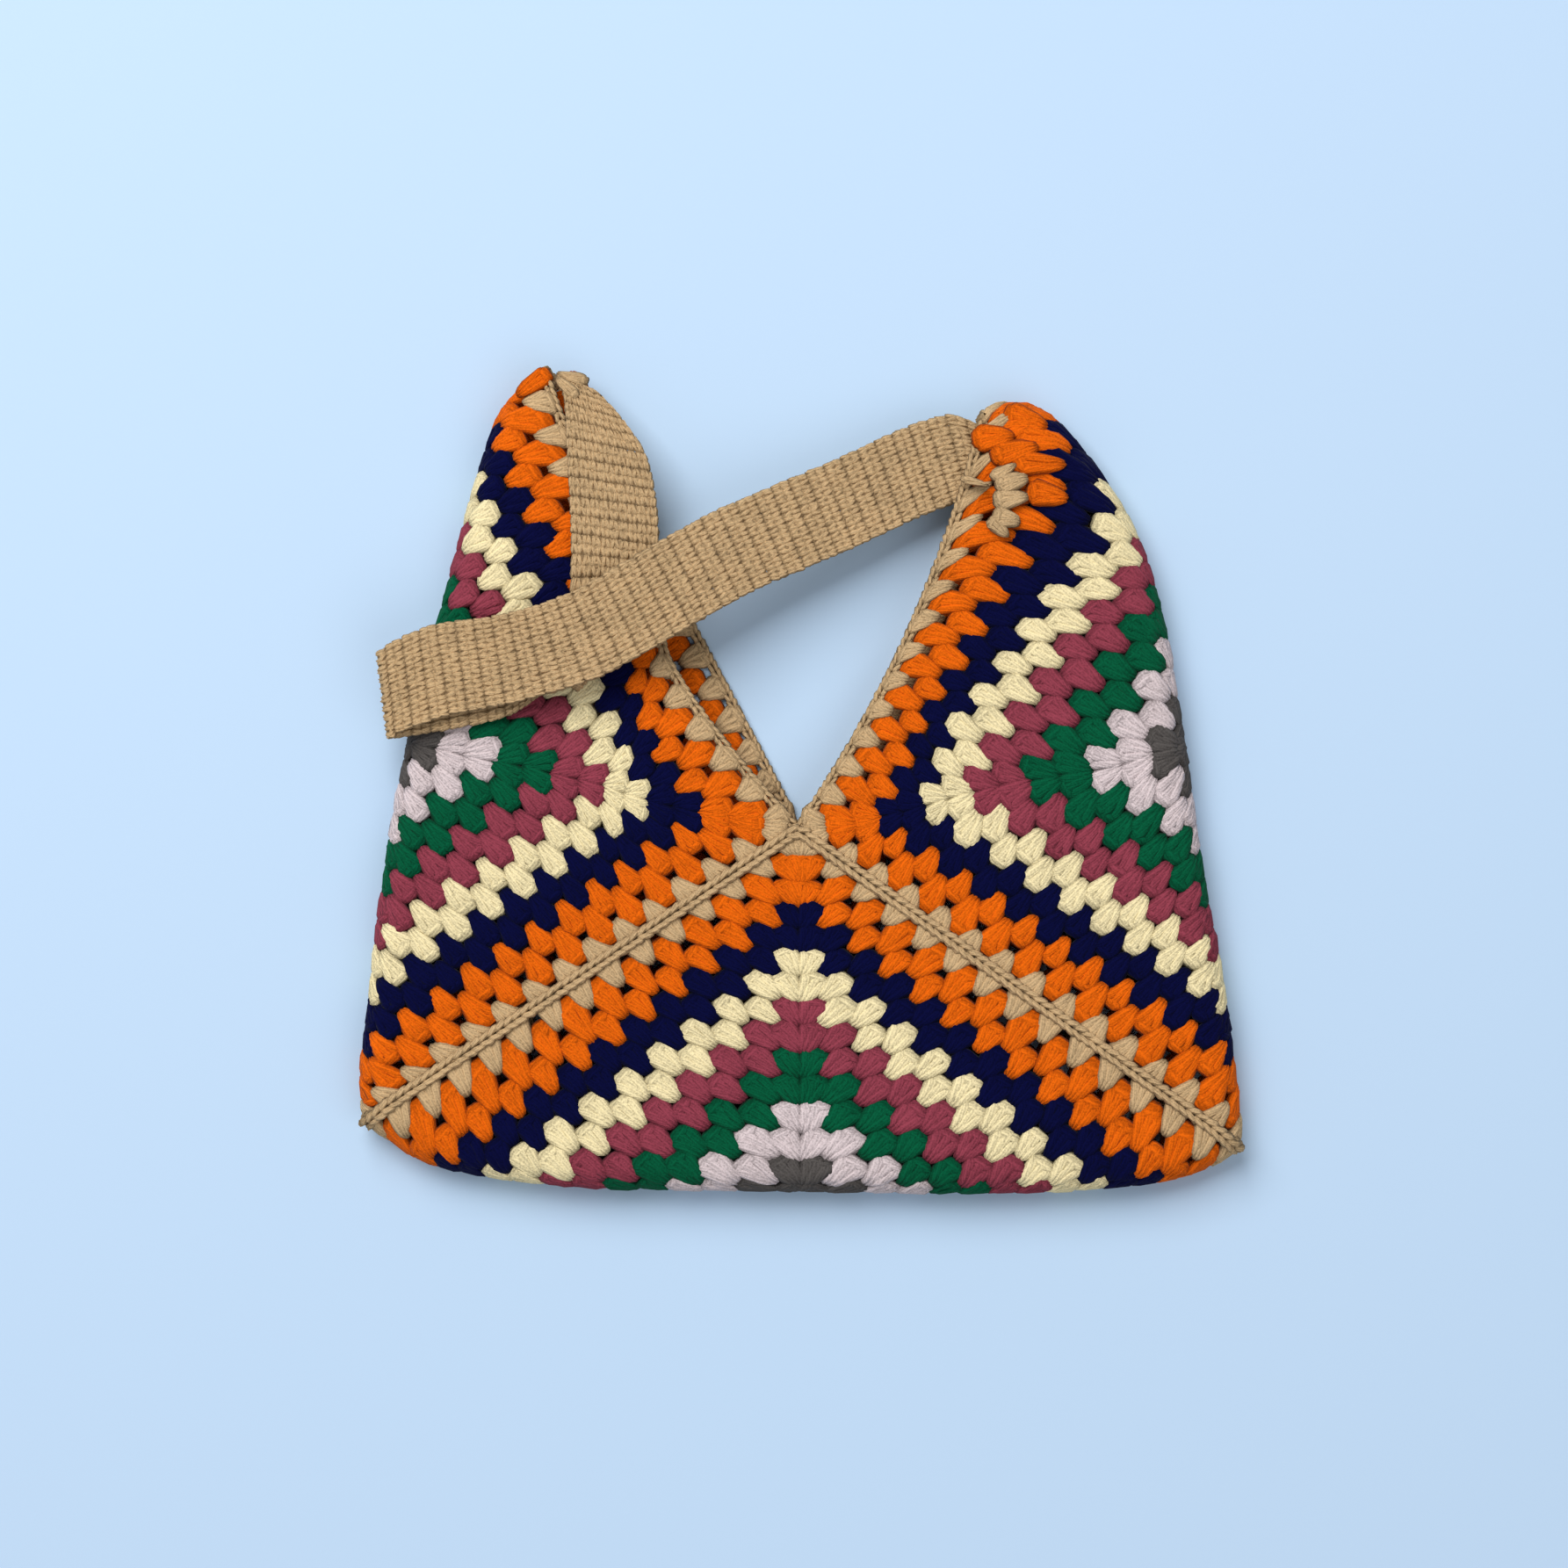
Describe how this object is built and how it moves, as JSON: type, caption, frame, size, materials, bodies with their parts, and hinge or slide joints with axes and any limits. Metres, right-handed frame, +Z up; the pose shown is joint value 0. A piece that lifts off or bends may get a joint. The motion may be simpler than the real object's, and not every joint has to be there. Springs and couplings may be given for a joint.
{
  "type": "crochet granny square shoulder bag",
  "caption": "Soft crochet shoulder bag of folded granny squares, with a V-shaped mouth and a flat strap, lying on its back",
  "frame": {"origin": "middle of the bag's outline seen from above, on the surface that it lies on", "axes": "+X to the wearer's side of the right tip, +Y from the bottom edge to the tips, +Z up out of the bag's front"},
  "size_m": [0.4445, 0.4188, 0.0473],
  "materials": {
    "square_yarn": "matt worsted yarn in rounds of several colours, treble clusters",
    "beige_yarn": "matt worsted yarn, single crochet"
  },
  "bodies": {
    "root": {"bottom_square": "square_yarn", "left_square": "square_yarn", "right_square": "square_yarn", "joining_seam": "beige_yarn", "mouth_edging": "beige_yarn", "strap": "beige_yarn"}
  },
  "joints": []
}
